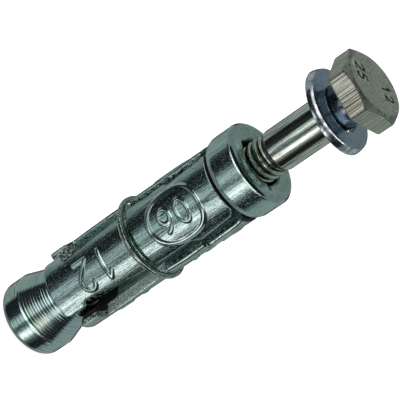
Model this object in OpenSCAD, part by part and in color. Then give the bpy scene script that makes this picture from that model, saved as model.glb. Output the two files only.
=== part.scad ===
// Shield anchor with a loose hexagon bolt, M6 size, for a hole drilled with a
// 12 mm masonry bit.  Three pressed steel segments are held round a tapered nut
// by a wire ring and a collar; a bolt with a washer runs in the nut.
// The bolt axis is Z.  Z = 0 is the flat end of the tapered nut, the head is up.

/* [Tapered nut] */
// Outside diameter of the nut's parallel end
nut_d = 11.4; // [11:0.1:11.6]
// Length of the parallel end
nut_cyl_h = 3.75; // [3:0.05:4.5]
// Overall length of the nut
nut_h = 11; // [10:0.1:11.6]
// Half angle of the cone, degrees
nut_cone = 16.84; // [14:0.02:17]
// Radius of the rounded end
nut_round = 1.25; // [0.6:0.05:1.6]

/* [Shield segments] */
// Outside diameter of the closed shield
shield_d = 11.56; // [11.4:0.02:11.7]
// Wall of a segment
wall = 1.58; // [1.4:0.02:1.6]
// Height of the free ends of the segments
seg_z0 = 9; // [8.9:0.05:9.6]
// Height of the shoulder under the collar
seg_z1 = 39.85; // [39:0.05:39.9]
// Height of the top of the neck inside the collar
neck_z1 = 43.5; // [43:0.05:43.6]
// Outside diameter of the neck
neck_d = 10; // [9.6:0.05:10]

/* [Collar] */
// Outside diameter of the collar
ferrule_d = 12.2; // [12:0.05:12.3]
// Height of the collar's lower edge
ferrule_z0 = 40.1; // [40.05:0.05:40.3]
// Height of the collar's top face
ferrule_z1 = 44.85; // [44.7:0.05:45.2]
// Wall of the collar
ferrule_wall = 1; // [0.9:0.02:1]
// Hole for the bolt
ferrule_hole = 6.5; // [6.4:0.05:6.8]

/* [Wire ring] */
// Height of the ring
ring_z = 24.4; // [24.2:0.05:24.5]
// Wire diameter
wire_d = 0.85; // [0.6:0.05:0.9]
// Outside diameter of the ring
ring_d = 12.7; // [12.4:0.05:12.8]
// Opening between the wire's ends, degrees
ring_gap = 11; // [6:1:20]

/* [Bolt] */
// Shank diameter
shank_d = 5.95; // [5.8:0.01:6]
// Diameter over the thread's crests
thread_d = 5.88; // [5.8:0.01:5.9]
// Length under the head
bolt_l = 55; // [50:0.5:60]
// Length of the plain shank
shank_l = 12.9; // [10:0.1:14]
// Height of the underside of the head
head_z = 60.65; // [60:0.05:62]
// Width of the head across its flats
head_af = 9.85; // [9.7:0.05:10]
// Height of the head
head_h = 3.4; // [3.2:0.05:4.1]

/* [Washer] */
// Outside diameter
washer_d = 12; // [11.5:0.1:12.5]
// Hole
washer_hole = 6.4; // [6.4:0.05:6.8]
// Thickness
washer_t = 1.2; // [1:0.05:1.6]
// Height of the washer's middle
washer_z = 57.7; // [57:0.02:58.6]
// How far the washer leans on the shank, degrees
washer_lean = 5.4; // [0:0.1:5.4]
// How far the washer hangs to the right of the axis
washer_shift = 0.12; // [0:0.01:0.12]

/* [Hidden] */
$fn = 96;

zinc_cool = [0.62, 0.69, 0.68];
zinc_dark = [0.55, 0.60, 0.60];
zinc_warm = [0.68, 0.68, 0.64];
zinc_blue = [0.60, 0.67, 0.72];

nut_r = nut_d / 2;
cone_top_r = nut_r - (nut_h - nut_cyl_h) * tan(nut_cone);
nut_bore_r = 3.0;                 // the tapped hole, at the crests of the bolt's thread
ro = shield_d / 2;
ri = ro - wall;
neck_ro = neck_d / 2;
neck_ri = 3.45;
fer_ro = ferrule_d / 2;
fer_ri = fer_ro - ferrule_wall;
head_r = head_af / 2 / cos(30);
tip_z = head_z - bolt_l;
thread_z = head_z - shank_l;      // where the thread runs out below the shank
groove_z = ring_z + 0.15;         // the ring lies against the lower side of its groove
groove_r = 5.05;

// Middle of each segment, degrees from +X.  The front one faces -Y.
front_a = 263;
slot_a = 58;                      // from a segment's middle to the slot beside it
right_step = 115;                 // the right one lies a little closer to the front one
back_slot = 0.65;                 // the slot at the back is narrower than the two beside the front
left_lean = 0.3;                  // the left segment leans over the ring, its free end out
left_drop = 0.5;                  // how far the two segments beside the front one have slid down
right_drop = 0.35;

// ---- helpers ----------------------------------------------------------------
function unit(v) = v / norm(v);
// Points of an arc that rounds the corner b between a and c.
function corner(a, b, c, r, n) =
  let (u = unit(a - b), v = unit(c - b),
       h = acos(max(-1, min(1, u * v))) / 2,
       m = b + unit(u + v) * (r / sin(h)),
       p = b + u * (r / tan(h)) - m,
       q = b + v * (r / tan(h)) - m,
       a0 = atan2(p[1], p[0]),
       a1 = atan2(q[1], q[0]),
       d = a1 - a0 > 180 ? a1 - a0 - 360 : a1 - a0 < -180 ? a1 - a0 + 360 : a1 - a0)
  [for (i = [0:n]) m + r * [cos(a0 + d * i / n), sin(a0 + d * i / n)]];
// An outline whose corners are rounded; each point is [x, y, radius].
function rounded(p, n = 5) =
  [for (i = [0:len(p) - 1])
    let (k = len(p), b = p[i], a = p[(i + k - 1) % k], c = p[(i + 1) % k])
    each b[2] > 0 ? corner([a[0], a[1]], [b[0], b[1]], [c[0], c[1]], b[2], n)
                  : [[b[0], b[1]]]];

// ---- tapered nut ------------------------------------------------------------
module tapered_nut() {
  color(zinc_cool)
    rotate_extrude()
      polygon(rounded([
        [nut_bore_r + 0.45, 0, 0], [nut_r, 0, nut_round], [nut_r, nut_cyl_h, 0],
        [cone_top_r, nut_h, 0.15], [nut_bore_r, nut_h, 0], [nut_bore_r, 0.45, 0]]));
}

// ---- shield segments --------------------------------------------------------
// Section of a segment: body, ring groove, and the neck that sits in the collar.
module segment_section() {
  polygon(rounded([
    [ri, seg_z0 + 0.3, 0], [ri + 0.22, seg_z0, 0], [ro, seg_z0, 0.3],
    [ro, groove_z - 0.85, 0.15], [groove_r, groove_z - 0.5, 0.25],
    [groove_r, groove_z + 0.5, 0.25], [ro, groove_z + 0.85, 0.15],
    [ro, seg_z1, 0.3], [neck_ro, seg_z1, 0],
    [neck_ro, neck_z1, 0.3], [neck_ri, neck_z1, 0.3],
    [neck_ri, seg_z1 - 1, 0], [ri, seg_z1 - 1.8, 0]], 4));
}

// Outline of the slot between two segments, across the slot and along the bolt:
// a mouth between the end lugs, a long window, then a stepped slit.
module slot_outline() {
  polygon(rounded([
    [-2.90, 8.2, 0], [-2.00, 9.9, 0.6], [-2.00, 12.6, 0.3], [-2.75, 13.3, 0.5],
    [-1.45, 24.3, 0], [-1.32, 25.4, 0], [-1.32, 31.9, 0.3], [-0.50, 33.1, 0.3],
    [-0.98, 38.75, 0.4], [-1.98, 39.8, 0.2], [-1.98, 45, 0], [0.95, 45, 0],
    [0.95, 39.4, 0.3], [1.30, 38.0, 0.5], [1.66, 33.1, 0.3], [1.05, 32.2, 0.3],
    [1.05, 25.6, 0.4], [1.52, 24.4, 0.4], [2.50, 12.9, 0.5], [0.90, 12.3, 0.3],
    [0.90, 9.75, 0.6], [1.75, 8.2, 0]], 4));
}
module slot(wide) {
  rotate([90, 0, 90])
    translate([0, 0, 2.4])
      linear_extrude(height = 6)
        scale([wide, 1])
          slot_outline();
}
// A segment with its middle in direction a; the widths of the slots on its two sides,
// its lean over the ring and how far it has slid down follow.
module segment(a, wide_up = 1, wide_down = 1, lean = 0, drop = 0) {
  color(zinc_cool)
    rotate([0, 0, a])
      translate([5.3, 0, ring_z - drop]) rotate([0, -lean, 0]) translate([-5.3, 0, -ring_z])
        difference() {
          rotate([0, 0, slot_a - 122])
            rotate_extrude(angle = 119.4)
              segment_section();
          rotate([0, 0, slot_a]) slot(wide_up);
          rotate([0, 0, slot_a - 120]) slot(wide_down);
        }
}
module segment_front() { segment(front_a); }
module segment_left() { segment(front_a - 120, 1, back_slot, left_lean, left_drop); }
module segment_right() { segment(front_a + right_step, back_slot, 1, 0, right_drop); }

// ---- collar -----------------------------------------------------------------
module ferrule() {
  color(zinc_cool)
    rotate_extrude()
      polygon(rounded([
        [fer_ri, ferrule_z0, 0.2], [fer_ro, ferrule_z0, 0.6],
        [fer_ro, ferrule_z1, 0.75], [ferrule_hole / 2, ferrule_z1, 0.3],
        [ferrule_hole / 2, ferrule_z1 - ferrule_wall, 0],
        [fer_ri, ferrule_z1 - ferrule_wall, 0.3]]));
}

// ---- wire ring --------------------------------------------------------------
module wire_ring() {
  color(zinc_dark)
    translate([0, 0, ring_z])
      rotate([0, 0, 65 + ring_gap / 2])
        rotate_extrude(angle = 360 - ring_gap)
          translate([ring_d / 2 - wire_d / 2, 0])
            circle(d = wire_d);
}

// ---- washer -----------------------------------------------------------------
module washer() {
  color(zinc_blue)
    translate([washer_shift, 0, washer_z])
      rotate([0, washer_lean, 0])
        rotate_extrude()
          polygon(rounded([
            [washer_hole / 2, -washer_t / 2, 0.1], [washer_d / 2, -washer_t / 2, 0.12],
            [washer_d / 2, washer_t / 2, 0.3], [washer_hole / 2, washer_t / 2, 0.15]]));
}

// ---- bolt -------------------------------------------------------------------
module hex_bolt() {
  color(zinc_warm) {
    // head: a hexagon with its top corners turned off at 30 degrees
    intersection() {
      translate([0, 0, head_z])
        rotate([0, 0, 288.8])
          cylinder(r = head_r, h = head_h, $fn = 6);
      rotate_extrude()
        polygon([[0, head_z - 1], [head_r + 1, head_z - 1],
                 [head_r + 1, head_z + head_h - (head_r + 1 - 4.55) * tan(30)],
                 [4.55, head_z + head_h], [0, head_z + head_h]]);
    }
    // shank, thread and point, turned about the axis
    rotate_extrude()
      polygon([[0, tip_z], [thread_d / 2 - 0.75, tip_z],
               [thread_d / 2, tip_z + 0.8], [thread_d / 2, thread_z - 1.3],
               [2.62, thread_z - 0.75], [2.62, thread_z - 0.45],
               [shank_d / 2, thread_z + 0.1],
               [shank_d / 2, head_z - 0.3], [shank_d / 2 + 0.25, head_z],
               [shank_d / 2 + 0.25, head_z + 0.5], [0, head_z + 0.5]]);
  }
}

tapered_nut();
segment_front();
segment_left();
segment_right();
ferrule();
wire_ring();
washer();
hex_bolt();
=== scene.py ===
import math

import bmesh
import bpy
import numpy as np
from mathutils import Matrix, Vector


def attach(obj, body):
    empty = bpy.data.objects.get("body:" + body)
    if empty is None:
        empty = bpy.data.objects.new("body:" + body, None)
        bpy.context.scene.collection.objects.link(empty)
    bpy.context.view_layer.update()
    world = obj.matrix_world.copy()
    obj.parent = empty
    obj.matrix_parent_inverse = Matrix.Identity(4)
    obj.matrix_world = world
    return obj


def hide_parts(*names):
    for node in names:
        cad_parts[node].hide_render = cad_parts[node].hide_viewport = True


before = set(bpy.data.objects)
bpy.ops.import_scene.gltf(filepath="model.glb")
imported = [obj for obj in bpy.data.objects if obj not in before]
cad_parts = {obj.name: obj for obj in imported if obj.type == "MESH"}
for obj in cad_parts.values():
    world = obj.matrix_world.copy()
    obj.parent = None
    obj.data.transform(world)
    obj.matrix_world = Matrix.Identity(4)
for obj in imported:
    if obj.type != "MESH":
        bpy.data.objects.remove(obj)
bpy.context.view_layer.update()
scene = bpy.context.scene
MM = 0.001
TAU = 2 * math.pi


# ---------------------------------------------------------------- helpers

def fillet(points, steps=6):
    """(x, y, radius) corners of an open line, each corner turned into an arc."""
    out = []
    n = len(points)
    for i, p in enumerate(points):
        x, y = p[0], p[1]
        r = p[2] if len(p) > 2 else 0.0
        if r <= 0 or i in (0, n - 1):
            out.append((x, y))
            continue
        a = np.array(points[i - 1][:2], float) - (x, y)
        b = np.array(points[i + 1][:2], float) - (x, y)
        la, lb = np.linalg.norm(a), np.linalg.norm(b)
        a, b = a / la, b / lb
        half = math.acos(max(-1.0, min(1.0, float(a @ b)))) / 2
        t = min(r / math.tan(half), 0.49 * la, 0.49 * lb)
        r = t * math.tan(half)
        p0, p1 = np.array((x, y)) + a * t, np.array((x, y)) + b * t
        mid = a + b
        c = np.array((x, y)) + mid / np.linalg.norm(mid) * (r / math.sin(half))
        a0 = math.atan2(*(p0 - c)[::-1])
        a1 = math.atan2(*(p1 - c)[::-1])
        d = (a1 - a0 + math.pi) % TAU - math.pi
        for k in range(steps + 1):
            w = a0 + d * k / steps
            out.append((c[0] + r * math.cos(w), c[1] + r * math.sin(w)))
    return np.array(out)


def dense(line, step):
    """The same line with no stretch longer than step."""
    out = [line[0]]
    for a, b in zip(line[:-1], line[1:]):
        k = max(1, int(math.ceil(np.linalg.norm(b - a) / step)))
        for j in range(1, k + 1):
            out.append(a + (b - a) * j / k)
    return np.array(out)


def smooth(x):
    x = np.clip(x, 0, 1)
    return x * x * (3 - 2 * x)


def value_noise(shape, cells, rng):
    """Smooth random field from -1 to 1 on a grid."""
    g = rng.uniform(-1, 1, (cells[0] + 2, cells[1] + 2))
    y = np.linspace(0, cells[0], shape[0])
    x = np.linspace(0, cells[1], shape[1])
    yi, xi = np.floor(y).astype(int), np.floor(x).astype(int)
    fy, fx = smooth(y - yi)[:, None], smooth(x - xi)[None, :]
    a = g[yi][:, xi] * (1 - fx) + g[yi][:, xi + 1] * fx
    b = g[yi + 1][:, xi] * (1 - fx) + g[yi + 1][:, xi + 1] * fx
    return a * (1 - fy) + b * fy


def finish_mesh(name, verts, faces, sharp=35.0, mats=(), face_mat=None):
    me = bpy.data.meshes.new(name)
    me.from_pydata([tuple(v) for v in np.asarray(verts) * MM], [], faces)
    me.validate()
    bm = bmesh.new()
    bm.from_mesh(me)
    bmesh.ops.recalc_face_normals(bm, faces=bm.faces)
    if bm.calc_volume(signed=True) < 0:
        bmesh.ops.reverse_faces(bm, faces=bm.faces)
    bm.to_mesh(me)
    bm.free()
    for m in mats:
        me.materials.append(m)
    if face_mat is not None:
        me.polygons.foreach_set("material_index", np.asarray(face_mat, np.int32))
    me.polygons.foreach_set("use_smooth", np.ones(len(me.polygons), bool))
    me.set_sharp_from_angle(angle=math.radians(sharp))
    me.update()
    ob = bpy.data.objects.new(name, me)
    scene.collection.objects.link(ob)
    return ob


def grid_faces(rows, cols, wrap_rows):
    out = []
    last = rows if wrap_rows else rows - 1
    for r in range(last):
        a, b = r * cols, ((r + 1) % rows) * cols
        for c in range(cols):
            d = (c + 1) % cols
            out.append((a + c, a + d, b + d, b + c))
    return out


def lathe(name, line, cols, mats, sharp=35.0, tilt=None):
    """A closed (r, z) line turned about Z."""
    ang = np.arange(cols) * TAU / cols
    r, z = line[:, 0], line[:, 1]
    v = np.stack([r[:, None] * np.cos(ang), r[:, None] * np.sin(ang),
                  np.repeat(z[:, None], cols, 1)], -1).reshape(-1, 3)
    if tilt is not None:
        v = tilt(v)
    return finish_mesh(name, v, grid_faces(len(line), cols, True), sharp, mats)


# ---------------------------------------------------------------- materials

class Nodes:
    """Short names for the node calls a material needs."""

    def __init__(self, name):
        self.mat = bpy.data.materials.new(name)
        self.mat.use_nodes = True
        self.tree = self.mat.node_tree
        self.tree.nodes.clear()
        self.out = self.tree.nodes.new("ShaderNodeOutputMaterial")
        self.bsdf = self.tree.nodes.new("ShaderNodeBsdfPrincipled")
        self.link(self.bsdf.outputs[0], self.out.inputs[0])
        self.coord = self.tree.nodes.new("ShaderNodeTexCoord").outputs["Object"]

    def link(self, a, b):
        self.tree.links.new(a, b)

    def place(self, scale):
        n = self.tree.nodes.new("ShaderNodeMapping")
        n.inputs["Scale"].default_value = scale
        self.link(self.coord, n.inputs["Vector"])
        return n.outputs[0]

    def noise(self, scale, detail=2.0, rough=0.5, distortion=0.0):
        """scale in features per millimetre along x, y, z"""
        n = self.tree.nodes.new("ShaderNodeTexNoise")
        n.inputs["Scale"].default_value = 1.0
        n.inputs["Detail"].default_value = detail
        n.inputs["Roughness"].default_value = rough
        n.inputs["Distortion"].default_value = distortion
        s = (scale,) * 3 if isinstance(scale, (int, float)) else scale
        self.link(self.place([v * 1000 for v in s]), n.inputs["Vector"])
        return n.outputs["Fac"]

    def cells(self, scale):
        n = self.tree.nodes.new("ShaderNodeTexVoronoi")
        n.inputs["Scale"].default_value = 1.0
        s = (scale,) * 3 if isinstance(scale, (int, float)) else scale
        self.link(self.place([v * 1000 for v in s]), n.inputs["Vector"])
        return n.outputs["Distance"]

    def ramp(self, fac, stops):
        n = self.tree.nodes.new("ShaderNodeValToRGB")
        e = n.color_ramp.elements
        while len(e) < len(stops):
            e.new(0.5)
        for el, (p, c) in zip(e, stops):
            el.position = p
            el.color = (c, c, c, 1) if isinstance(c, (int, float)) else (*c, 1)
        self.link(fac, n.inputs["Fac"])
        return n.outputs["Color"]

    def mix(self, fac, a, b, how="MIX"):
        n = self.tree.nodes.new("ShaderNodeMix")
        n.data_type = "RGBA"
        n.blend_type = how
        for sock, v in ((n.inputs[0], fac), (n.inputs[6], a), (n.inputs[7], b)):
            if isinstance(v, (int, float)):
                sock.default_value = v
            elif isinstance(v, tuple):
                sock.default_value = (*v, 1)
            else:
                self.link(v, sock)
        return n.outputs[2]

    def math(self, how, a, b=0.0):
        n = self.tree.nodes.new("ShaderNodeMath")
        n.operation = how
        for sock, v in zip(n.inputs, (a, b)):
            if isinstance(v, (int, float)):
                sock.default_value = v
            else:
                self.link(v, sock)
        return n.outputs[0]

    def bump(self, height, strength, distance_mm, under=None):
        n = self.tree.nodes.new("ShaderNodeBump")
        n.inputs["Strength"].default_value = strength
        n.inputs["Distance"].default_value = distance_mm * MM
        self.link(height, n.inputs["Height"])
        if under is not None:
            self.link(under, n.inputs["Normal"])
        return n.outputs[0]

    def z_mm(self):
        n = self.tree.nodes.new("ShaderNodeSeparateXYZ")
        self.link(self.coord, n.inputs[0])
        return self.math("MULTIPLY", n.outputs[2], 1000.0)


def metal(name, base, second, rough, spread, peel=0.014, line=0.014, spots=0.3,
          line_scale=(4.6, 4.6, 0.22), peel_scale=3.2, dull=(0.30, 0.36, 0.34), line_low=0.20,
          grit=0.33, pit=0.36, shine=1.0):
    """Plated steel: clouded tint, orange peel, fine grain, drawn lines, duller specks and pits."""
    n = Nodes(name)
    cloud = n.ramp(n.noise(0.32, 3, 0.6), [(0.32, 0.0), (0.7, 1.0)])
    peel_h = n.noise(peel_scale, 3, 0.6)
    fine = n.noise(6.5, 2, 0.6)
    drawn = n.noise(line_scale, 3, 0.65)
    speck = n.ramp(n.noise((7.5, 7.5, 4.5), 1, 0.5), [(0.53, 0.0), (0.71, 1.0)])
    pits = n.ramp(n.noise((7.0, 7.0, 3.5), 1, 0.5), [(0.60, 0.0), (0.72, 1.0)])
    worn = n.ramp(n.noise(1.2, 5, 0.7, 0.4), [(0.56, 0.0), (0.74, 1.0)])
    col = n.mix(cloud, base, second)
    col = n.mix(n.math("MULTIPLY", worn, spots), col, dull)
    col = n.mix(1.0, col, n.ramp(drawn, [(0.38, line_low), (0.53, 1.0)]), "MULTIPLY")
    col = n.mix(n.math("MULTIPLY", pits, pit), col, tuple(v * 0.25 for v in base))
    n.link(col, n.bsdf.inputs["Base Color"])
    n.bsdf.inputs["Metallic"].default_value = shine
    r = n.math("ADD", n.math("MULTIPLY", fine, spread), rough - spread * 0.5)
    r = n.math("ADD", r, n.math("MULTIPLY", speck, grit))
    r = n.math("ADD", r, n.math("MULTIPLY", worn, 0.06))
    n.link(r, n.bsdf.inputs["Roughness"])
    b = n.bump(peel_h, 1.0, peel)
    b = n.bump(fine, 1.0, peel * 0.35, b)
    b = n.bump(drawn, 1.0, line, b)
    n.link(b, n.bsdf.inputs["Normal"])
    return n.mat


def sheared(name, base, dark, grain=3.4, rough=0.16, bump=0.10, shine=1.0):
    """The torn, grainy faces that a shear leaves, plated over."""
    n = Nodes(name)
    g = n.noise(grain, 3, 0.65)
    c = n.noise(grain * 1.15, 2, 0.6)
    col = n.mix(n.ramp(g, [(0.42, 0.0), (0.56, 1.0)]), dark, base)
    n.link(col, n.bsdf.inputs["Base Color"])
    n.bsdf.inputs["Metallic"].default_value = shine
    n.link(n.math("ADD", n.math("MULTIPLY", g, 0.30), rough), n.bsdf.inputs["Roughness"])
    b = n.bump(c, 1.0, bump)
    b = n.bump(n.noise(8.0, 2, 0.5), 1.0, bump * 0.2, b)
    n.link(b, n.bsdf.inputs["Normal"])
    return n.mat


ZINC, ZINC2 = (0.49, 0.79, 0.72), (0.56, 0.81, 0.76)
m_segment = metal("segment_zinc_plate", ZINC, ZINC2, 0.075, 0.06, line=0.029, line_low=0.52, grit=0.42, pit=0.6)
# lighter, smoother copy of the segment zinc: the smoother finish is real, its lighter colour is a painted highlight on
# the raised strokes, the right segment's bevel line and the nut's step into the cone
m_highlight_line = metal("zinc_line_painted_highlight", (0.54, 0.84, 0.77), (0.60, 0.86, 0.81), 0.075, 0.05, 0.006, 0.004, 0.15,
                 line_low=0.8, grit=0.06, pit=0.1)
# dark copy of the segment zinc: a painted shadow on the down-facing flanks of raised strokes and beside the right
# segment's bevel line
m_shadow_line = metal("segment_line_painted_shadow", (0.10, 0.16, 0.15), (0.14, 0.21, 0.20), 0.14, 0.08, 0.006, 0.004, 0.2,
               line_low=0.8, grit=0.1, pit=0.1)
m_collar = metal("collar_zinc_plate", ZINC, ZINC2, 0.075, 0.06, 0.016, 0.020, line_low=0.74, grit=0.46, pit=0.5)
m_collar_top = metal("collar_end_zinc_plate", (0.45, 0.71, 0.65), (0.50, 0.73, 0.68), 0.09, 0.05, 0.008, 0.003, 0.35,
                     line_scale=(1.6, 1.6, 1.6), line_low=0.86, grit=0.06, pit=0.12)
m_collar_flat = metal("collar_flat_zinc_plate", (0.45, 0.71, 0.65), (0.50, 0.73, 0.68), 0.27, 0.08, 0.010, 0.004, 0.35,
                      line_scale=(1.6, 1.6, 1.6), line_low=0.80, grit=0.06, pit=0.15)
# dark plate for the collar's mouth round the thread: painted shade
m_mouth_shade = metal("collar_mouth_painted_shade", (0.20, 0.31, 0.29), (0.30, 0.44, 0.41), 0.12, 0.08, 0.014, 0.006, 0.5,
                dull=(0.03, 0.04, 0.04), line_scale=(2.4, 2.4, 2.4), line_low=0.3)
m_edge = sheared("segment_sheared_edge", (0.84, 1.0, 0.97), (0.22, 0.33, 0.31), 5.2, 0.12, 0.12, 0.48)
m_torn = sheared("segment_torn_edge", (0.74, 1.0, 0.94), (0.05, 0.09, 0.085), 2.2, 0.04, 0.26, 0.90)
m_cut = metal("segment_cut_edge", (0.22, 0.37, 0.36), (0.50, 0.76, 0.72), 0.14, 0.10, 0.024, 0.008, 0.6,
              line_scale=(1.4, 1.4, 0.3), peel_scale=1.0, dull=(0.03, 0.05, 0.05), line_low=0.3, grit=0.10, shine=0.85)
m_lug = sheared("segment_lug_tear", (0.86, 1.0, 0.96), (0.07, 0.12, 0.11), 2.2, 0.03, 0.42, 0.80)
m_edge_lit = sheared("segment_sheared_edge_lit", (0.40, 0.68, 0.63), (0.10, 0.18, 0.17), 4.4, 0.10, 0.14, 0.70)
m_inside = metal("segment_inner_plate", (0.42, 0.60, 0.59), (0.48, 0.66, 0.64), 0.30, 0.16,
                 0.02, 0.01, 0.5, dull=(0.06, 0.09, 0.085), shine=0.4)
# near-black plate for the collar's bore and the faces under the collar: painted shade
m_bore_shade = metal("collar_bore_painted_shade", (0.085, 0.150, 0.145), (0.110, 0.185, 0.178), 0.36, 0.16,
               0.02, 0.01, 0.6, dull=(0.018, 0.022, 0.020), shine=0.45)
m_wire = metal("wire_zinc_plate", (0.46, 0.66, 0.56), (0.50, 0.68, 0.58), 0.12, 0.08, 0.008,
               0.003, 0.35, line_scale=(4, 4, 4), grit=0.2)
m_washer = metal("washer_zinc_plate", (0.42, 0.58, 0.68), (0.38, 0.52, 0.62), 0.085, 0.05,
                 0.008, 0.002, 0.30, line_scale=(2.5, 2.5, 2.5), line_low=0.8, grit=0.12, pit=0.2)
m_washer_rim = metal("washer_stamped_rim", (0.66, 0.84, 0.90), (0.74, 0.90, 0.94), 0.10, 0.08,
                     0.009, 0.004, 0.3, line_scale=(1.2, 1.2, 0.8), line_low=0.45, grit=0.15, pit=0.3)
m_bolt = metal("bolt_zinc_plate", (0.66, 0.85, 0.76), (0.70, 0.85, 0.74), 0.055, 0.04, 0.005,
               0.007, 0.25, line_low=0.35, grit=0.16)
m_thread = metal("thread_zinc_plate", (0.64, 0.81, 0.68), (0.60, 0.76, 0.62), 0.10, 0.06,
                 0.002, 0.001, 0.3, dull=(0.34, 0.33, 0.24), grit=0.0, pit=0.0, line_low=0.85)
m_head = metal("head_zinc_plate", (0.52, 0.68, 0.54), (0.60, 0.70, 0.56), 0.30, 0.14, 0.024,
               0.008, 0.45, line_scale=(2.4, 2.4, 2.4), dull=(0.38, 0.39, 0.29), line_low=0.64, grit=0.12, pit=0.28)
# darker copy of the head plate on the top chamfer: the darker colour is painted shade
m_chamfer_shaded = metal("head_chamfer_painted_shade", (0.42, 0.54, 0.46), (0.48, 0.57, 0.48), 0.30, 0.14, 0.020,
                  0.008, 0.5, line_scale=(1.4, 1.4, 1.4), dull=(0.30, 0.30, 0.24), line_low=0.55, grit=0.12, pit=0.3)
# pale rough plate on one row at the top edge of the flanks: a painted highlight line along the head's edges
m_edge_highlight = metal("head_edge_painted_highlight", (0.86, 0.92, 0.82), (0.78, 0.84, 0.72), 0.42, 0.14, 0.010,
               0.004, 0.3, line_scale=(1.4, 1.4, 1.4), grit=0.0, pit=0.2, line_low=0.5)
# dark bluish plate: painted shade on the head's underside and lower edge, on the shank just below the head and on the
# washer's hole wall
m_under_shade = metal("head_underside_painted_shade", (0.19, 0.27, 0.32), (0.26, 0.35, 0.40), 0.15, 0.08, 0.006,
                0.002, 0.3, line_scale=(1.2, 1.2, 1.2), dull=(0.06, 0.06, 0.06), line_low=0.7)
# near-black plate: painted shade in the thread's roots, at the neck between thread and shank, and along the corner
# where the flanks meet the top chamfer
m_neck_and_root_shade = metal("bolt_neck_and_root_painted_shade", (0.10, 0.12, 0.12), (0.15, 0.17, 0.16), 0.30, 0.14, 0.010,
               0.003, 0.4, line_scale=(1.2, 1.2, 1.2), dull=(0.06, 0.06, 0.06))
m_side = metal("head_side_zinc_plate", (0.57, 0.73, 0.58), (0.64, 0.74, 0.60), 0.30, 0.14,
               0.018, 0.010, 0.5, line_scale=(2.6, 2.6, 0.12), dull=(0.44, 0.45, 0.34), line_low=0.60,
               grit=0.12, pit=0.35)
# lighter plate with strong vertical drawn lines for the front flat: the drawn lines are real, the lighter colour is a
# painted highlight beside the other flats' plate
m_front_flat_lit = metal("head_front_flat_painted_highlight", (0.70, 0.80, 0.68), (0.74, 0.76, 0.60), 0.28, 0.12,
               0.006, 0.034, 0.35, line_scale=(4.4, 4.4, 0.06), dull=(0.50, 0.42, 0.28), line_low=0.16,
               grit=0.0, pit=0.0)
m_nut = metal("nut_zinc_plate", ZINC, ZINC2, 0.06, 0.05, 0.008, 0.004, 0.25,
              line_scale=(0.4, 0.4, 5.0), line_low=0.5, grit=0.22)
# dark plate on the nut's bottom end and the rounding above it: painted shade under the nut
m_nut_end_shade = metal("nut_end_painted_shade", (0.20, 0.22, 0.19), (0.26, 0.24, 0.20), 0.16, 0.08, 0.010, 0.004,
                  0.4, line_scale=(1.2, 1.2, 4.0), dull=(0.12, 0.09, 0.07))


# near-black, noisy plate used as painted shade in gaps, recesses and incised marks
def painted_shade(name, low=(0.008, 0.009, 0.008), high=(0.035, 0.036, 0.03)):
    n = Nodes(name)
    g = n.noise(5.0, 3, 0.6)
    n.link(n.mix(g, low, high), n.bsdf.inputs["Base Color"])
    n.link(n.math("ADD", n.math("MULTIPLY", g, 0.3), 0.5), n.bsdf.inputs["Roughness"])
    n.link(n.bump(g, 0.3, 0.02), n.bsdf.inputs["Normal"])
    return n.mat


# painted shade inside the digits incised in the head
m_mark_shade = painted_shade("incised_mark_painted_shade")
# painted shadow in the gaps and deep parts of the segments and under the collar lip
m_gap_shadow = painted_shade("segment_gap_painted_shadow", (0.003, 0.004, 0.004), (0.017, 0.022, 0.021))


def cone_metal():
    """The turned cone: fine tool rings with a faint yellow to violet passivation film."""
    n = Nodes("nut_cone_zinc_plate")
    z = n.z_mm()
    film = n.noise((0.25, 0.25, 1.1), 2, 0.5)
    t = n.math("ADD", n.math("MULTIPLY", n.math("SUBTRACT", z, 3.75), 0.16),
               n.math("MULTIPLY", n.math("SUBTRACT", film, 0.5), 0.8))
    col = n.ramp(t, [(0.0, (0.50, 0.79, 0.71)), (0.16, (0.56, 0.80, 0.66)),
                     (0.32, (0.52, 0.76, 0.78)), (0.50, (0.50, 0.78, 0.76)),
                     (0.72, (0.50, 0.80, 0.74)), (1.0, (0.50, 0.80, 0.74))])
    fine = n.noise(8.0, 3, 0.6)
    ring = n.noise((0.15, 0.15, 9.0), 2, 0.6)
    col = n.mix(0.35, col, n.ramp(ring, [(0.40, 0.40), (0.56, 1.0)]), "MULTIPLY")
    n.link(col, n.bsdf.inputs["Base Color"])
    n.bsdf.inputs["Metallic"].default_value = 1.0
    n.link(n.math("ADD", n.math("MULTIPLY", fine, 0.08), 0.08), n.bsdf.inputs["Roughness"])
    b = n.bump(fine, 1.0, 0.002)
    n.link(n.bump(ring, 1.0, 0.0025, b), n.bsdf.inputs["Normal"])
    return n.mat


m_cone = cone_metal()


# ---------------------------------------------------------------- segments

GZ = 24.55
out_line = fillet([(4.9, 9.0), (5.78, 9.02, 0.42), (5.78, GZ - 0.85, 0.2), (5.05, GZ - 0.5, 0.25),
                   (5.05, GZ + 0.5, 0.25), (5.78, GZ + 0.85, 0.2), (5.78, 39.80, 0.34),
                   (5.0, 39.88, 0.05), (5.0, 43.5, 0.3), (4.4, 43.51)], 7)
in_line = fillet([(4.58, 9.0), (4.2, 10.15, 0.3), (4.2, 38.05, 0.2), (3.45, 38.85, 0.2),
                  (3.45, 43.2, 0.2), (3.75, 43.51)], 5)
left_line = fillet([(-2.90, 8.2), (-2.00, 9.9, 0.6), (-2.00, 12.6, 0.3), (-2.75, 13.3, 0.5),
                    (-1.45, 24.3, 2.0), (-1.32, 25.4), (-1.32, 31.9, 0.3), (-0.50, 33.1, 0.3),
                    (-0.98, 38.75, 0.4), (-1.98, 39.8, 0.2), (-1.98, 45)], 6)
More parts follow.
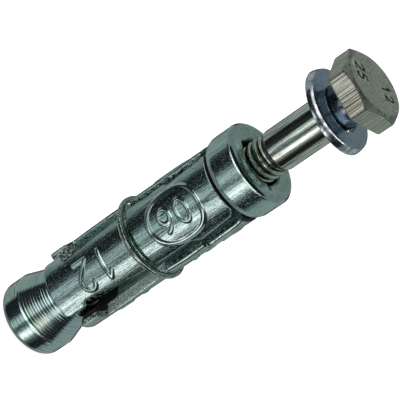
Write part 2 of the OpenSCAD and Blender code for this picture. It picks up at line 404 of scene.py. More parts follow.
right_line = fillet([(1.75, 8.2), (0.90, 9.75, 0.6), (0.90, 12.3, 0.3), (2.50, 12.9, 0.5),
                     (1.52, 24.4, 0.4), (1.05, 25.6, 0.4), (1.26, 29.2, 3.0), (1.05, 32.2, 0.3), (1.66, 33.1, 0.3),
                     (1.30, 38.0, 0.5), (0.95, 39.4, 0.3), (0.95, 45)], 6)


def by_z(line):
    z = np.maximum.accumulate(line[:, 1] + np.arange(len(line)) * 1e-7)
    return lambda q: np.interp(q, z, line[:, 0])


r_out, r_in, x_left, x_right = by_z(out_line), by_z(in_line), by_z(left_line), by_z(right_line)


def ridge(d, half, top=0.05):
    """Straight flanks up to a narrow rounded top."""
    return np.clip((half - np.sqrt(d * d + top * top)) / (half - top), 0, 1)


def stroke_height(s, z, lines, half, high):
    """Height of a raised round-topped line along each polyline."""
    best = np.full(s.shape, 9.0)
    for line in lines:
        for (x0, y0), (x1, y1) in zip(line[:-1], line[1:]):
            dx, dy = x1 - x0, y1 - y0
            t = np.clip(((s - x0) * dx + (z - y0) * dy) / (dx * dx + dy * dy + 1e-12), 0, 1)
            best = np.minimum(best, np.hypot(s - x0 - t * dx, z - y0 - t * dy))
    return high * ridge(best, half, 0.07)


def arc(cx, cy, rx, ry, a0, a1, steps=18):
    return [(cx + rx * math.cos(math.radians(a0 + (a1 - a0) * k / steps)),
             cy + ry * math.sin(math.radians(a0 + (a1 - a0) * k / steps))) for k in range(steps + 1)]


DIGITS = {
    "0": [arc(0.5, 0.75, 0.42, 0.75, 0, 360, 28)],
    "1": [[(0.15, 1.15), (0.5, 1.5), (0.5, 0.0)]],
    "2": [arc(0.5, 1.06, 0.42, 0.44, 165, -35, 16) + [(0.06, 0.0), (0.95, 0.0)]],
    "5": [[(0.9, 1.5), (0.2, 1.5), (0.12, 0.85)] + arc(0.46, 0.48, 0.46, 0.48, 125, -140, 18)],
    "6": [arc(0.5, 0.46, 0.42, 0.46, 0, 360, 24), arc(0.95, 0.55, 0.87, 0.95, 175, 105, 12)],
    "7": [[(0.08, 1.5), (0.92, 1.5), (0.38, 0.0)]],
}


def number_lines(text, high, wide, gap, centre_z):
    """Digits read with the head on the left: their up is +s, their right is -z."""
    lines = []
    total = len(text) * wide + (len(text) - 1) * gap
    for i, ch in enumerate(text):
        u0 = i * (wide + gap) - total / 2
        for line in DIGITS[ch]:
            lines.append([((v / 1.5 - 0.5) * high, centre_z - (u0 + u * wide)) for u, v in line])
    return lines


mark_lines = number_lines("06", 3.3, 2.15, 0.75, 32.5)
mark_lines_2 = number_lines("12", 4.3, 2.5, 1.0, 17.4)


def raised(s, z):
    g = ((np.abs(z - 32.5) / 4.30) ** 2.35 + (np.abs(s) / 3.62) ** 2.35) ** (1 / 2.35)
    d = (g - 1) * np.hypot(z - 32.5, s) / np.maximum(g, 1e-6)
    h = 0.137 * ridge(d, 0.42, 0.09)
    h = np.maximum(h, stroke_height(s, z, mark_lines, 0.37, 0.124))
    return np.maximum(h, stroke_height(s, z, mark_lines_2, 0.40, 0.147))


def segment(name, centre, seed, wide_up=1.0, wide_down=1.0, over=0.0, drop=0.0, bevelled=False):
    rng = np.random.default_rng(seed)
    zs = [9.0, 43.51]
    for line in (out_line, in_line, left_line, right_line):
        zs += [z for z in line[:, 1] if 9.0 < z < 43.51]
    zs = sorted(zs)
    keep = [zs[0]]
    for z in zs[1:]:
        if z - keep[-1] > 0.018:
            keep.append(z)
    keep[-1] = 43.51
    full = []
    for a, b in zip(keep[:-1], keep[1:]):
        step = 0.075 if (28.0 < (a + b) / 2 < 37.0 or 12.5 < (a + b) / 2 < 22.0) else 0.16
        k = max(1, int(math.ceil((b - a) / step)))
        full += [a + (b - a) * j / k for j in range(k)]
    zs = np.array(full + [43.51])
    nz = len(zs)
    ro, ri = r_out(zs), r_in(zs)
    xl, xr = x_left(zs) * wide_up, x_right(zs) * wide_down
    roll_up = np.minimum(0.42, (ro - ri) * 0.27)
    roll_down = np.minimum(0.14 + 0.20 * bevelled * smooth((zs - 25.2) / 0.8), (ro - ri) * 0.25)

    d_edge = np.array([0.0, 0.006, 0.024, 0.055, 0.095, 0.14, 0.20])
    n_mid = 128
    rows = []
    mids, lows = math.radians(58), math.radians(-62)
    n_edge, n_in = 9, 26
    rough_r = value_noise((nz, n_edge), (nz // 2, 5), rng) * 0.6 + rng.uniform(-1, 1, (nz, n_edge)) * 0.4
    rough_l = value_noise((nz, n_edge), (nz // 2, 5), rng) * 0.6 + rng.uniform(-1, 1, (nz, n_edge)) * 0.4
    lip_r = value_noise((nz, 1), (nz // 3, 1), rng)[:, 0]
    lip_l = value_noise((nz, 1), (nz // 3, 1), rng)[:, 0]
    kinds = None
    lifts = []
    for i, z in enumerate(zs):
        a0 = lows + math.asin((xr[i] + 0.015 * lip_l[i]) / ro[i])
        a1 = mids + math.asin((xl[i] + 0.015 * lip_r[i]) / ro[i])
        width = ro[i] * (a1 - a0)
        p, q = roll_up[i], roll_down[i]
        q *= 1 + 0.10 * bevelled * lip_l[i]
        s = np.concatenate([d_edge * (q / 0.16), np.linspace(1.25 * q, width - 1.25 * p, n_mid + 2)[1:-1],
                            width - d_edge[::-1] * (p / 0.16)])
        alpha = a0 + s / ro[i]
        r = np.full_like(s, ro[i])
        for size, x, near, bevel in ((q, xr[i], s, bevelled), (p, xl[i], width - s, False)):
            t = np.clip(1 - near / size, 0, 1)
            r -= 0.86 * size * (np.sqrt(t * t + 0.01) - 0.1) / 0.905 if bevel else size * (1 - np.sqrt(np.maximum(1 - t * t, 0)))
            alpha += t * t * (math.asin(x / (ro[i] - size)) - math.asin(x / ro[i]))
        r = r + 0.13 * float(smooth((12.9 - z) / 0.9)) * smooth((s - width + 1.3) / 1.1)
        lift = np.zeros_like(alpha)
        if 9.6 < z < 39.3 and abs(z - GZ) > 1.0:
            lift = raised(alpha * 5.78, np.full_like(alpha, z))
        r = r + lift
        lifts.append(lift)
        pts = [(r * np.cos(alpha), r * np.sin(alpha))]
        rr = np.linspace(ro[i] - p, ri[i], n_edge + 2)[1:-1]
        torn = smooth((rr.max() - rr) / (np.ptp(rr) + 1e-9) * 1.6)
        x = xl[i] + (0.014 + 0.024 * torn) * rough_r[i] - 0.05 * torn
        a = mids + np.arcsin(x / rr)
        pts.append((rr * np.cos(a), rr * np.sin(a)))
        b0 = lows + math.asin(xr[i] / ri[i])
        b1 = mids + math.asin(xl[i] / ri[i])
        a = np.linspace(b1, b0, n_in)
        pts.append((ri[i] * np.cos(a), ri[i] * np.sin(a)))
        rr = np.linspace(ri[i], ro[i] - q, n_edge + 2)[1:-1]
        torn = smooth((rr.max() - rr) / (np.ptp(rr) + 1e-9) * 1.6)
        w = float(smooth((z - GZ - 0.7) / 0.5))
        u = np.linspace(0, 1, n_edge)
        x = xr[i] + ((0.014 + 0.024 * torn) * rough_l[i] + 0.05 * torn) * (1 - 0.9 * w) + \
            0.16 * w * np.sin(u * math.pi) * (0.6 + 0.4 * math.sin((z - 25.4) / 7.6 * math.pi) ** 2)
        a = lows + np.arcsin(x / rr)
        pts.append((rr * np.cos(a), rr * np.sin(a)))
        if kinds is None:
            kinds = np.concatenate([np.zeros(len(s)), np.ones(n_edge), np.full(n_in, 2),
                                    np.ones(n_edge)]).astype(int)
            upper_side = np.arange(len(kinds)) < len(s) + n_edge + n_in // 2
        px = np.concatenate([q[0] for q in pts])
        py = np.concatenate([q[1] for q in pts])
        rows.append(np.stack([px, py, np.full(len(px), z)], -1))
    cols = len(kinds)
    v = np.concatenate(rows)
    if over:
        w = math.radians(over)
        dx, dz = v[:, 0] - 5.3, v[:, 2] - 24.4
        v = np.stack([5.3 + dx * math.cos(w) - dz * math.sin(w), v[:, 1],
                      24.4 + dx * math.sin(w) + dz * math.cos(w)], -1)
    v[:, 2] -= drop
    c, s_ = math.cos(math.radians(centre)), math.sin(math.radians(centre))
    v = np.stack([v[:, 0] * c - v[:, 1] * s_, v[:, 0] * s_ + v[:, 1] * c, v[:, 2]], -1)
    faces = grid_faces(nz, cols, False)
    kind_of = np.maximum(kinds, np.roll(kinds, -1))
    kind_of = np.where((kinds == 2) & (np.roll(kinds, -1) == 2), 2,
                       np.where((kinds == 0) & (np.roll(kinds, -1) == 0), 0, 1))
    mat = np.tile(kind_of, (nz - 1, 1))
    lifts = np.array(lifts)
    rise = (lifts[1:] - lifts[:-1]) / np.diff(zs)[:, None]
    # raised strokes take the zinc with the painted highlight (5); their lower flanks, facing down, take the painted
    # shadow (6)
    line = np.maximum(lifts[1:], lifts[:-1]) > 0.012
    shape = mat[:, :lifts.shape[1]]
    shape[line & (shape == 0)] = 5
    shape[line & (shape == 5) & (rise > 0.12) & (lifts[1:] < 0.085)] = 6
    mat[(zs[:-1] > GZ + 0.85)[:, None] & (kind_of == 1) & (upper_side & (np.arange(cols) > 50))] = 3
    mat[(zs[:-1] > GZ + 0.85)[:, None] & (kind_of == 1) & ~(upper_side & (np.arange(cols) > 50))] = 4
    mat[(zs[:-1] < 13.1)[:, None] & (kind_of == 1)] = 8
    # painted shadow (7) on the lower end of the edge faces next to the nut
    mat[(zs[:-1] < 13.1)[:, None] & (np.arange(cols) >= cols - n_edge - 1) & (np.arange(cols) < cols - 5)] = 7
    col = np.arange(cols)
    # right segment: a painted highlight line along the bevelled edge (5) and a painted shadow line just inside it (6)
    if bevelled:
        upper = ((zs[:-1] > GZ + 0.95) & (zs[:-1] < 39.0))[:, None]
        mat[upper & (col < 4)] = 5
        mat[upper & (col >= 4) & (col < 6)] = 6
    # painted shadow (7) on the inner face below z 13.9 and over the top ends under the collar lip
    mat[(zs[:-1] < 13.9)[:, None] & (kind_of == 2)] = 7
    shade = np.interp(col, [0, 60, 61], [39.15, 39.66, 39.66]) if bevelled else np.full(cols, 39.66)
    mat[zs[:-1][:, None] > shade] = 7
    mat = mat.ravel().tolist()
    faces.append(tuple(reversed(range(cols))))
    faces.append(tuple(range((nz - 1) * cols, nz * cols)))
    mat += [1, 1]
    edge = m_edge_lit if name.endswith("left") else m_edge
    return finish_mesh(name, v, faces, 38.0, (m_segment, edge, m_inside, m_torn, m_cut, m_highlight_line, m_shadow_line, m_gap_shadow, m_lug), mat)


pieces = {}
for node, body, *shape in (("segment_front", "front_segment", 263, 11),
                           ("segment_left", "left_segment", 143, 12, 1.0, 0.65, 0.3, 0.42),
                           ("segment_right", "right_segment", 18, 13, 0.65, 1.0, 0.0, 0.35, True)):
    ob = segment("shield_" + node, *shape)
    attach(ob, body)
    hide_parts(node)
    pieces[node] = ob


# ---------------------------------------------------------------- ferrule, ring, washer

ferrule_line = dense(fillet([
    (5.1, 41.0), (5.1, 40.1, 0.15), (5.68, 40.1, 0.12), (5.89, 40.30, 0.2), (6.1, 40.98, 0.9), (6.1, 44.18, 0.15), (6.01, 44.41, 0.10), (5.72, 44.77, 0.45),
    (5.32, 44.85, 0.3), (5.0, 44.80, 0.4),
    (3.85, 44.60, 0.3), (3.25, 44.60, 0.26), (3.25, 43.75, 0.1), (5.1, 43.75, 0.2),
    (5.1, 41.0)], 9)[:-1], 0.26)


def crimped(v):
    """The mouth of the collar, pressed down unevenly over the ends of the segments."""
    x, y, z = v[:, 0], v[:, 1], v[:, 2]
    r = np.hypot(x, y)
    phi = np.degrees(np.arctan2(x, -y))

    def near(a, wide):
        d = (phi - a + 180) % 360 - 180
        return np.exp(-(d / wide) ** 2)

    out = smooth((4.5 - r) / 0.8) * smooth((z - 43.5) / 0.2)
    out = out * (0.52 * near(-74, 12) + 0.30 * near(66, 8) + 0.14 * near(-31, 7) + 0.30 * near(170, 12))
    on_top = smooth((z - 44.3) / 0.25)
    dent = 0.30 * near(57, 3.0) * smooth((4.75 - r) / 0.7) + 0.20 * near(184, 3.5) * smooth((4.5 - r) / 0.7)
    for a, wide, far, deep in ((-31, 7, 3.85, 0.12), (4, 6, 4.30, 0.11), (22, 5, 4.40, 0.10), (-52, 6, 4.2, 0.05),
                               (120, 9, 4.2, 0.07), (232, 8, 4.0, 0.08)):
        dent = dent + deep * near(a, wide) * np.exp(-((r - far) / 0.32) ** 2)
    k = (r + out) / r
    return np.stack([x * k, y * k, z - dent * on_top], -1)


ferrule = lathe("shield_collar", ferrule_line, 160, (m_collar, m_bore_shade, m_mouth_shade, m_collar_top, m_collar_flat), 40, crimped)
# index 1: painted shade in the bore and on faces under the collar; index 2: painted shade at the mouth round the
# thread
for p in ferrule.data.polygons:
    far = math.hypot(p.center.x, p.center.y)
    if far < 0.00344 or (p.center.z < 0.0437 and (far < 0.00530 or (p.normal.z < -0.9 and far < 0.0056))):
        p.material_index = 1
    elif far < 0.0036:
        p.material_index = 2
    elif p.normal.z > 0.2:
        p.material_index = 3 if far > 0.0050 else 4
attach(ferrule, "shield")
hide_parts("ferrule")


def wire_ring():
    around, count = 20, 150
    gap = math.radians(11)
    start = math.radians(65) + gap / 2
    end = math.radians(65) + TAU - gap / 2
    rows = []
    for k, a in enumerate(np.linspace(start, end, count)):
        for scale, ext in (((0.45, 0), (0.86, 0.06), (1.0, 0.16)) if k == 0 else
                           ((1.0, -0.16), (0.86, -0.06), (0.45, 0)) if k == count - 1 else ((1.0, 0),)):
            w = a + ext / 5.925
            ph = np.arange(around) * TAU / around
            r = 5.925 + 0.425 * scale * np.cos(ph)
            rows.append(np.stack([r * math.cos(w), r * math.sin(w),
                                  24.4 + 0.425 * scale * np.sin(ph)], -1))
    n = len(rows)
    v = np.concatenate(rows)
    faces = grid_faces(n, around, False)
    faces.append(tuple(reversed(range(around))))
    faces.append(tuple(range((n - 1) * around, n * around)))
    return finish_mesh("shield_wire_ring", v, faces, 50, (m_wire,))


ring = wire_ring()
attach(ring, "shield")
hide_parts("wire_ring")

lean = math.radians(5.4)


def lean_washer(v):
    x, y, z = v[:, 0], v[:, 1], v[:, 2]
    return np.stack([0.12 + x * math.cos(lean) + z * math.sin(lean), y,
                     57.70 - x * math.sin(lean) + z * math.cos(lean)], -1)


washer_line = dense(fillet([
    (3.2, 0.0), (3.2, -0.6, 0.12), (5.97, -0.6, 0.06), (6.0, -0.52), (5.97, -0.28), (5.93, -0.05), (5.88, 0.12), (5.81, 0.32), (5.735, 0.52),
    (5.66, 0.6, 0.04), (3.2, 0.6, 0.22), (3.2, 0.0)], 7)[:-1], 0.35)
washer = lathe("loose_washer", washer_line, 144, (m_washer, m_washer_rim, m_under_shade), 40, lean_washer)
for p in washer.data.polygons:
    n = p.normal
    c = p.center
    far = math.hypot(c.x - 0.00012, c.y)
    # the wall of the hole takes the painted shade of the head's underside
    if abs(n.x * math.sin(lean) + n.z * math.cos(lean)) < 0.5:
        p.material_index = 1 if far > 0.0055 else 2
    elif far > 0.00566 and n.z > 0:
        p.material_index = 1
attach(washer, "washer")
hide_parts("washer")


# ---------------------------------------------------------------- bolt

PITCH = 1.0


def thread_shape(phase, crest=0.22, root=0.07):
    """0 at the root, 1 at the crest of a sixty degree thread with rounded root."""
    d = np.abs(phase - np.round(phase))
    q = np.clip((0.5 - root - d) / (0.5 - root - crest), 0, 1)
    return np.sin(q * math.pi / 2) ** 0.9


def bolt():
    side = math.radians(60)
    corner = math.radians(288.8)
    cols = 132
    ang = corner + np.arange(cols) * TAU / cols
    apothem = 9.85 / 2
    off = (ang - corner) % side - side / 2
    hexr = apothem / np.cos(off)
    limit = apothem / math.cos(side / 2) - 0.055
    hexr = np.minimum(hexr, limit)
    rows, mats, depth = [], [], {}

    def row(r, z, m):
        r = np.broadcast_to(r, (cols,))
        z = np.broadcast_to(z, (cols,))
        rows.append(np.stack([r * np.cos(ang), r * np.sin(ang), z], -1))
        mats.append(m)

    tip, top_of_thread = 5.65, 46.95
    for r, z in ((0.9, tip), (1.7, tip), (2.02, tip + 0.03), (2.16, tip + 0.1)):
        row(r, z, 1)
    for z in np.concatenate([np.linspace(tip + 0.2, 43.0, 370), np.linspace(43.0, top_of_thread, 110)[1:]]):
        sh = thread_shape((z - 0.3) / PITCH - ang / TAU, 0.14)
        r = 2.42 + sh * (2.94 - 2.42)
        r = np.minimum(r, 2.16 + (z - tip - 0.1) * 0.95)
        w = float(smooth((46.94 - z) / 0.5))
        r = r * w + np.minimum(r, 2.62) * (1 - w) if w < 1 else r
        depth[len(rows)] = sh
        row(r, z, 1)
    for r, z, m in ((2.60, 47.04, 9), (2.60, 47.20, 9), (2.61, 47.40, 9), (2.66, 47.47, 9), (2.84, 47.56, 9),
                    (2.93, 47.62, 0), (2.965, 47.70, 0), (2.975, 47.85, 0)):
        row(r, z, m)
    # the shank above z 58.5, between washer and head, takes the painted shade
    for z in np.linspace(48.3, 59.9, 26):
        row(2.975, z, 0 if z < 58.5 else 5)
    for r, z in ((2.985, 60.2), (3.03, 60.42), (3.13, 60.57), (3.30, 60.64), (3.6, 60.65), (4.3, 60.65),
                 (4.42, 60.66), (4.46, 60.70)):
        row(r, z, 5)
    low = 60.70 + np.maximum(hexr - 4.46, 0) * 0.16
    row(hexr - 0.16, low, 5)
    row(hexr - 0.10, low + 0.03, 6)
    row(hexr - 0.03, low + 0.15, 6)
    row(hexr - 0.004, low + 0.24, 6)
    row(hexr, low + 0.28, 3)
    low = low + 0.21
    top, flat_r = 64.05, 4.55
    high = top - np.maximum(hexr - flat_r, 0) * math.tan(math.radians(30))
    for t in (0.12, 0.3, 0.5, 0.7, 0.88):
        row(hexr, low + 0.07 + (high - 0.07 - low - 0.07) * t, 3)
    row(hexr, high - 0.10, 3)
    # a painted shade line at the corner of flank and chamfer, then a painted highlight line above it
    row(hexr - 0.025, high - 0.01, 9)
    row(hexr - 0.10, high + 0.035, 8)
    # the top chamfer rows take the darker plate with painted shade
    for t in (0.35, 0.7):
        r = hexr - 0.10 + (flat_r + 0.06 - hexr + 0.10) * t
        row(r, top - (r - flat_r) * math.tan(math.radians(30)), 7)
    row(4.61, 64.018, 7)
    for r, z in ((4.55, 64.042), (4.47, 64.05), (3.6, 64.05), (2.4, 64.05), (1.2, 64.05), (0.5, 64.05)):
        row(r, z, 2)
    v = np.concatenate(rows)
    n = len(rows)
    faces = grid_faces(n, cols, False)
    # front marks the flat facing the camera, which takes the plate with the painted highlight
    front = np.cos(ang + 0.01 - (corner - side / 2)) > math.cos(side / 2)
    edge = np.zeros(cols, bool)
    # thread faces near the root take the painted shade
    mat = [9 if i in depth and depth[i][c] < 0.42 else m if m != 3 else 0 if edge[c] else 3 if front[c] else 6
           for i, m in enumerate(mats) if i for c in range(cols)]
    faces.append(tuple(reversed(range(cols))))
    faces.append(tuple(range((n - 1) * cols, n * cols)))
    mat += [1, 2]
    # only the upright faces of the hexagon take the drawn finish
    return finish_mesh("hex_bolt_body", v, faces, 32, (m_bolt, m_thread, m_head, m_front_flat_lit, m_mark_shade, m_under_shade, m_side, m_chamfer_shaded, m_edge_highlight,
                        m_neck_and_root_shade), mat)


def ribbon(line, half):
    """Outline of a stroke of even width along a polyline."""
    line = np.array(line, float)
    t = np.gradient(line, axis=0)
    t /= np.linalg.norm(t, axis=1)[:, None]
    nrm = np.stack([-t[:, 1], t[:, 0]], -1)
    line[0] -= t[0] * half * 0.6
    line[-1] += t[-1] * half * 0.6
    return np.concatenate([line + nrm * half, (line - nrm * half)[::-1]])


def incise(target, groups):
    """Sink plain digits into the top of the head."""
    verts, faces = [], []
    for text, cx, cy, turn, size in groups:
        w = size * 0.62
        total = len(text) * w + (len(text) - 1) * size * 0.26
        for i, ch in enumerate(text):
            u0 = i * (w + size * 0.26) - total / 2
            for line in DIGITS[ch]:
                pts = [(u0 + u * w, (q / 1.5 - 0.5) * size) for u, q in line]
                fine = dense(np.array(pts), 0.12)
                out = ribbon(fine, 0.145)
                c, s = math.cos(turn), math.sin(turn)
                out = np.stack([cx + out[:, 0] * c - out[:, 1] * s, cy + out[:, 0] * s + out[:, 1] * c], -1)
                k, base = len(out), len(verts)
                verts += [(x, y, 63.90) for x, y in out] + [(x, y, 64.4) for x, y in out]
                faces.append(tuple(reversed(range(base, base + k))))
                faces.append(tuple(range(base + k, base + 2 * k)))
                faces += [(base + j, base + (j + 1) % k, base + k + (j + 1) % k, base + k + j) for j in range(k)]
    cutter = finish_mesh("mark_cutter", verts, faces, 30,
                         (m_bolt, m_thread, m_head, m_front_flat_lit, m_mark_shade, m_under_shade, m_side, m_chamfer_shaded, m_edge_highlight, m_neck_and_root_shade),
                         [4] * len(faces))
    mod = target.modifiers.new("marks", "BOOLEAN")
    mod.operation = "DIFFERENCE"
    mod.solver = "EXACT"
    mod.use_self = True
    mod.object = cutter
    bpy.context.view_layer.update()
    dg = bpy.context.evaluated_depsgraph_get()
    new = bpy.data.meshes.new_from_object(target.evaluated_get(dg))
    target.modifiers.clear()
    old = target.data
    target.data = new
    bpy.data.meshes.remove(old)
    bpy.data.objects.remove(cutter)


bolt_ob = bolt()
incise(bolt_ob, [("25", -2.3, -1.35, math.radians(-39), 1.7), ("12", 2.0, 1.35, math.radians(-30), 1.6)])
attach(bolt_ob, "bolt")
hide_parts("hex_bolt")


# ---------------------------------------------------------------- nut

def nut():
    cols = 128
    ang = np.arange(cols) * TAU / cols
    slope = math.tan(math.radians(16.84))
    outer = fillet([(3.42, 0.0), (5.7, 0.0, 1.25), (5.7, 3.50, 0.05), (5.585, 3.75, 0.03), (5.575, 3.80)], 10)
    outer = dense(outer, 0.6)
    # kind 3, the bottom end below z 0.62, takes the painted shade; kind 4, the step into the cone above z 3.49, takes
    # the zinc with the painted highlight
    rows = [(r, z, 3 if z < 0.62 else 4 if z > 3.49 else 0) for r, z in outer]
    rng = np.random.default_rng(21)
    steps = np.concatenate([[4.12], 4.12 + np.cumsum(rng.uniform(0.34, 0.46, 17))])
    share = rng.uniform(0.28, 0.42, 18)
    force = rng.uniform(0.85, 1.15, 18)
    for z in np.arange(3.88, 10.82, 0.024):
        r = 5.7 - 0.045 - (z - 3.75) * slope
        k = int(np.searchsorted(steps, z)) - 1
        if 0 <= k < 17:
            u = (z - steps[k]) / (steps[k + 1] - steps[k])
            u = 1 - u / share[k] if u < share[k] else (u - share[k]) / (1 - share[k])
            r -= (steps[k + 1] - steps[k]) * share[k] * 0.142 * force[k] * (1 - u)
        rows.append((r, z, 1))
    top_r = 5.7 - 0.045 - (10.86 - 3.75) * slope
    rows += [(top_r - 0.03, 10.92, 1), (top_r - 0.10, 10.98, 1), (top_r - 0.16, 11.0, 1)]
    v = []
    for r, z, _ in rows:
        v.append(np.stack([r * np.cos(ang), r * np.sin(ang), np.full(cols, z)], -1))
    kinds = [k for _, _, k in rows]
    for z in np.linspace(10.96, 0.45, 150):
        sh = thread_shape((z - 0.3) / PITCH - ang / TAU)
        r = 2.52 + sh * 0.56 + 0.02
        lead = max(float(smooth((z - 10.45) / 0.5)), float(smooth((0.95 - z) / 0.5)))
        r = r * (1 - lead) + np.maximum(r, 3.08) * lead
        v.append(np.stack([r * np.cos(ang), r * np.sin(ang), np.full(cols, z)], -1))
        kinds.append(2)
    for r, z in ((3.12, 0.36), (3.36, 0.06)):
        v.append(np.stack([r * np.cos(ang), r * np.sin(ang), np.full(cols, z)], -1))
        kinds.append(0)
    n = len(v)
    faces = grid_faces(n, cols, True)
    mat = [kinds[(i + 1) % n] for i in range(n) for _ in range(cols)]
    return finish_mesh("tapered_nut_body", np.concatenate(v), faces, 40, (m_nut, m_cone, m_thread, m_nut_end_shade, m_highlight_line), mat)


nut_ob = nut()
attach(nut_ob, "nut")
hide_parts("tapered_nut")


# ---------------------------------------------------------------- floor, light, camera

def floor():
    n = Nodes("pale_floor")
    g = n.noise(0.05, 3, 0.5)
    n.link(n.mix(g, (0.93, 0.93, 0.93), (0.95, 0.95, 0.95)), n.bsdf.inputs["Base Color"])
    n.bsdf.inputs["Roughness"].default_value = 0.9
    n.bsdf.inputs["Specular IOR Level"].default_value = 0.0
    n.bsdf.inputs["Emission Color"].default_value = (1, 1, 1, 1)
    n.bsdf.inputs["Emission Strength"].default_value = 0.80
    me = bpy.data.meshes.new("floor")
    me.from_pydata([(-6, -6, 0), (6, -6, 0), (6, 6, 0), (-6, 6, 0)], [], [(0, 1, 2, 3)])
    me.materials.append(n.mat)
    ob = bpy.data.objects.new("floor", me)
    scene.collection.objects.link(ob)
    ob.location.z = -0.00002
    ob.visible_glossy = False
    ob.visible_shadow = False


floor()


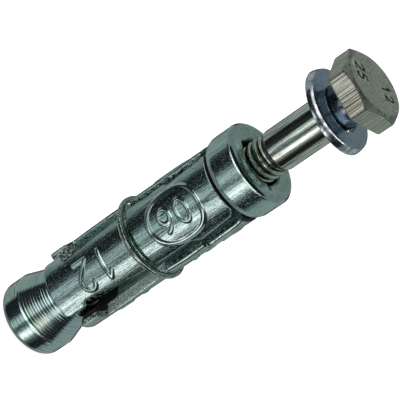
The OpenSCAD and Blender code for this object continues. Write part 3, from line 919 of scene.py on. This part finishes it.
def studio():
    w = bpy.data.worlds.new("studio")
    scene.world = w
    w.use_nodes = True
    t = w.node_tree
    t.nodes.clear()
    new = t.nodes.new
    link = t.links.new
    coord = new("ShaderNodeTexCoord")
    xyz = new("ShaderNodeSeparateXYZ")
    link(coord.outputs["Generated"], xyz.inputs[0])

    def m(how, a, b=0.0):
        n = new("ShaderNodeMath")
        n.operation = how
        for sock, val in zip(n.inputs, (a, b)):
            if isinstance(val, (int, float)):
                sock.default_value = val
            else:
                link(val, sock)
        return n.outputs[0]

    az = m("ARCTAN2", xyz.outputs[0], m("MULTIPLY", xyz.outputs[1], -1.0))
    az = m("ADD", m("MULTIPLY", az, 0.5 / math.pi), 0.5)
    el = m("ADD", m("MULTIPLY", m("ARCSINE", xyz.outputs[2]), 1 / math.pi), 0.5)

    def ramp(fac, stops, lo, hi):
        n = new("ShaderNodeValToRGB")
        e = n.color_ramp.elements
        while len(e) < len(stops):
            e.new(0.5)
        for k, (p, c) in zip(e, stops):
            k.position = (p - lo) / (hi - lo)
            c = (c, c, c) if isinstance(c, (int, float)) else c
            k.color = (c[0] / 2, c[1] / 2, c[2] / 2, 1)
        link(fac, n.inputs["Fac"])
        return n.outputs["Color"]

    def mix(fac, a, b):
        n = new("ShaderNodeMix")
        n.data_type = "RGBA"
        for sock, val in ((n.inputs[0], fac), (n.inputs[6], a), (n.inputs[7], b)):
            if isinstance(val, tuple):
                sock.default_value = (*val, 1)
            else:
                link(val, sock)
        return n.outputs[2]

    side = 0.33
    dark = (0.013, 0.0125, 0.015)
    bands = ramp(az, [
        (-180, 0.75), (-168, 0.55), (-163, 0.05), (-152, 0.06), (-146, side), (-92, side),
        (-86, 0.26), (-82, dark), (-50, (0.022, 0.022, 0.027)), (-34, 0.045), (-27, (0.46, 0.44, 0.48)),
        (-16, (0.78, 0.73, 0.80)), (-9, (0.62, 0.58, 0.62)), (-5, 0.11), (0, 0.09), (7, 0.20), (12, 0.42),
        (17, (1.38, 1.15, 1.18)), (24, (2.06, 1.61, 1.66)), (31, (1.86, 1.45, 1.50)), (37, 0.42), (46, 0.10),
        (58, 0.020), (80, dark), (86, 0.25), (92, side), (146, side), (152, 0.06), (163, 0.05),
        (168, 0.55), (180, 0.75)], -180, 180)
    tall = ramp(el, [(-90, side), (8, dark), (11, (1.75, 1.55, 1.55)), (20, (1.75, 1.55, 1.55)),
                     (23, dark), (90, dark)], -90, 90)
    tall = mix(ramp(az, [(-180, 0.0), (-8, 0.0), (-3, 1.3), (5, 1.3), (10, 0.0), (180, 0.0)], -180, 180), tall, dark)
    in_bands = ramp(el, [(-90, 0.0), (-57, 0.0), (-49, 2.0), (8, 2.0), (11, 0.0), (90, 0.0)], -90, 90)
    in_front = ramp(az, [(-180, 0.0), (-90, 0.0), (-84, 2.0), (84, 2.0), (90, 0.0), (180, 0.0)], -180, 180)
    crown = ramp(el, [(-90, 0.0), (66, 0.0), (80, 2.0), (90, 2.0)], -90, 90)
    upper = mix(in_front, (side * 0.38,) * 3, tall)
    upper = mix(crown, upper, (0.05, 0.05, 0.05))
    low = mix(m("MULTIPLY", in_front, ramp(el, [(-90, 0.0), (-14, 0.0), (-5, 1.66), (90, 1.66)], -90, 90)), bands,
              (0.012, 0.012, 0.013))
    env = mix(in_bands, upper, low)
    glossy = new("ShaderNodeBackground")
    link(env, glossy.inputs["Color"])
    glossy.inputs["Strength"].default_value = 2.0
    plain = new("ShaderNodeBackground")
    plain.inputs["Color"].default_value = (0.97, 0.97, 0.97, 1)
    path = new("ShaderNodeLightPath")
    pick = new("ShaderNodeMixShader")
    link(path.outputs["Is Camera Ray"], pick.inputs[0])
    link(glossy.outputs[0], pick.inputs[1])
    link(plain.outputs[0], pick.inputs[2])
    out = new("ShaderNodeOutputWorld")
    link(pick.outputs[0], out.inputs[0])


studio()


def area(name, at, to, size, power, glossy, diffuse=True, color=(1, 1, 1)):
    la = bpy.data.lights.new(name, "AREA")
    la.shape = "RECTANGLE"
    la.size, la.size_y = size
    la.energy = power
    la.color = color
    ob = bpy.data.objects.new(name, la)
    scene.collection.objects.link(ob)
    ob.location = at
    ob.rotation_mode = "QUATERNION"
    ob.rotation_quaternion = (Vector(to) - Vector(at)).to_track_quat("-Z", "Y")
    ob.visible_camera = False
    ob.visible_glossy = glossy
    ob.visible_diffuse = diffuse
    return ob


area("top_softbox", (0, 0, 1.2), (0, 0, 0), (2.4, 2.4), 13.0, False)

theta, roll_a = math.radians(29.6), math.radians(34.5)
view = Vector((0, math.cos(theta), -math.sin(theta)))
along = Vector((0, math.sin(theta), math.cos(theta)))
across = Vector((1, 0, 0))
right = along * math.cos(roll_a) + across * math.sin(roll_a)
up = along * math.sin(roll_a) - across * math.cos(roll_a)
cam_data = bpy.data.cameras.new("photo_camera")
cam_data.sensor_width = 36.0
cam_data.lens = 172.4
cam_data.clip_start = 0.01
cam = bpy.data.objects.new("photo_camera", cam_data)
scene.collection.objects.link(cam)
aim = Vector((0, 0, 0.03435)) - right * 0.00056 + up * 0.00005 - across * 0.00007
cam.matrix_world = Matrix.Translation(aim - view * 0.2539) @ Matrix((
    (right.x, up.x, -view.x, 0), (right.y, up.y, -view.y, 0), (right.z, up.z, -view.z, 0), (0, 0, 0, 1)))
scene.camera = cam

# a card that the front flat of the head mirrors towards the camera
flat_az = math.radians(288.8 - 30)
flat_n = Vector((math.cos(flat_az), math.sin(flat_az), 0))
flat_c = flat_n * 0.004925 + Vector((0, 0, 0.0622))
look = (flat_c - cam.matrix_world.translation).normalized()
bounce = look - flat_n * 2 * look.dot(flat_n)
area("flat_card", flat_c + bounce * 0.1, flat_c, (0.045, 0.03), 0.0016, True, False, (1.0, 0.96, 0.86))

scene.view_settings.view_transform = "Standard"
scene.view_settings.look = "None"
